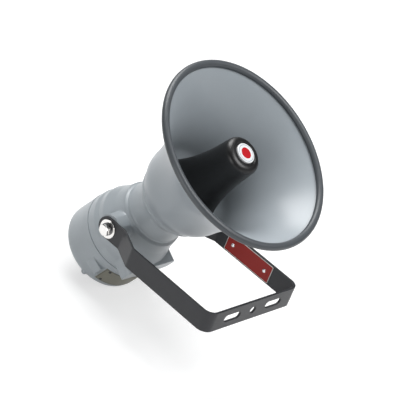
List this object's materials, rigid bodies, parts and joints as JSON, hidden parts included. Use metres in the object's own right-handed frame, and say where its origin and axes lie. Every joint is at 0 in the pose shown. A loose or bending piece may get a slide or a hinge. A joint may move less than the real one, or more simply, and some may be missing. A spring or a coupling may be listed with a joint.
{
  "type": "explosion-proof horn loudspeaker",
  "caption": "Explosion-proof re-entrant horn loudspeaker: grey cast housing and flared bell with a black bullet reflector, tilting on a black U-bracket.",
  "frame": {"origin": "centre of the round hole in the bracket's base, on the base's outer face", "axes": "-Y out of the bracket's base towards what it is bolted to, +Y along the arms, X along the trunnion axis, +Z on the side that the bell leans to; the horn's axis stands 59 degrees from -Y in the plane of Y and Z"},
  "size_m": [0.2666, 0.3198, 0.3597],
  "materials": {
    "bracket_paint": "black powder coat, satin",
    "red_enamel": "red enamel with a thin pale border",
    "rivet_metal": "bright",
    "bolt_steel": "bright stainless steel",
    "housing_paint": "cast aluminium under grey satin enamel",
    "bell_paint": "spun aluminium under grey satin enamel",
    "trim_rubber": "dark grey rubber",
    "gasket_fibre": "dark fibre gasket",
    "reflector_paint": "black satin enamel",
    "badge_enamel": "white with a red disc",
    "plate_alloy": "dull etched aluminium",
    "o_ring_rubber": "black",
    "set_screw_steel": "blackened",
    "arrestor_brass": "turned brass",
    "sintered_bronze": "sintered, porous",
    "driver_alloy": "turned aluminium",
    "driver_steel": "zinc-plated steel",
    "magnet_ferrite": "dull ferrite",
    "phenolic": "brown phenolic",
    "coil_copper": "enamelled copper wire",
    "core_steel": "laminated steel",
    "winding_tape": "yellow tape over copper wire",
    "block_plastic": "black moulding",
    "screw_steel": "zinc-plated",
    "ground_green": "green-marked ground screw"
  },
  "bodies": {
    "bracket": {"bracket": "bracket_paint", "red_plate": "red_enamel", "red_plate_rivets": "rivet_metal"},
    "horn": {"trunnion_bolt_left": "bolt_steel", "trunnion_bolt_right": "bolt_steel", "flat_washer_left": "bolt_steel", "flat_washer_right": "bolt_steel", "lock_washer_left": "bolt_steel", "lock_washer_right": "bolt_steel", "housing": "housing_paint", "cover_o_ring": "o_ring_rubber", "bell": "bell_paint", "bell_trim": "trim_rubber", "bell_gasket": "gasket_fibre", "tone_tube": "driver_alloy", "tone_tube_screws": "screw_steel", "reflector_spider": "driver_alloy", "reflector": "reflector_paint", "reflector_screw": "screw_steel", "badge": "badge_enamel", "flame_arrestor_body": "arrestor_brass", "flame_arrestor_element": "sintered_bronze", "driver_gasket": "gasket_fibre", "driver_cover": "driver_alloy", "phase_plug": "phenolic", "diaphragm_clamp_ring": "driver_alloy", "driver_top_plate": "driver_steel", "driver_magnet": "magnet_ferrite", "driver_back_plate": "driver_steel", "driver_screws": "screw_steel", "transformer_core": "core_steel", "transformer_winding": "winding_tape", "transformer_strap": "driver_steel", "transformer_screws": "screw_steel", "terminal_block": "block_plastic", "terminal_block_screws": "screw_steel", "terminal_screws": "screw_steel", "ground_screw": "ground_green"},
    "cover": {"rear_cover": "housing_paint", "cover_set_screw": "set_screw_steel", "name_plate": "plate_alloy", "name_plate_screws": "screw_steel"},
    "diaphragm": {"diaphragm": "phenolic", "voice_coil": "coil_copper"}
  },
  "joints": [
    {"name": "horn_tilt", "type": "hinge", "parent": "bracket", "child": "horn", "pos_m": [0, 0.208, 0], "axis": [-1, 0, 0], "range_deg": [-15, 255]},
    {"name": "cover_removal", "type": "slide", "parent": "horn", "child": "cover", "axis": [0, 0.515, -0.8572], "range_m": [0, 0.06]},
    {"name": "diaphragm_travel", "type": "slide", "parent": "horn", "child": "diaphragm", "axis": [0, -0.515, 0.8572], "range_m": [-0.0004, 0.0004], "stiffness_N_per_m": 2000}
  ]
}
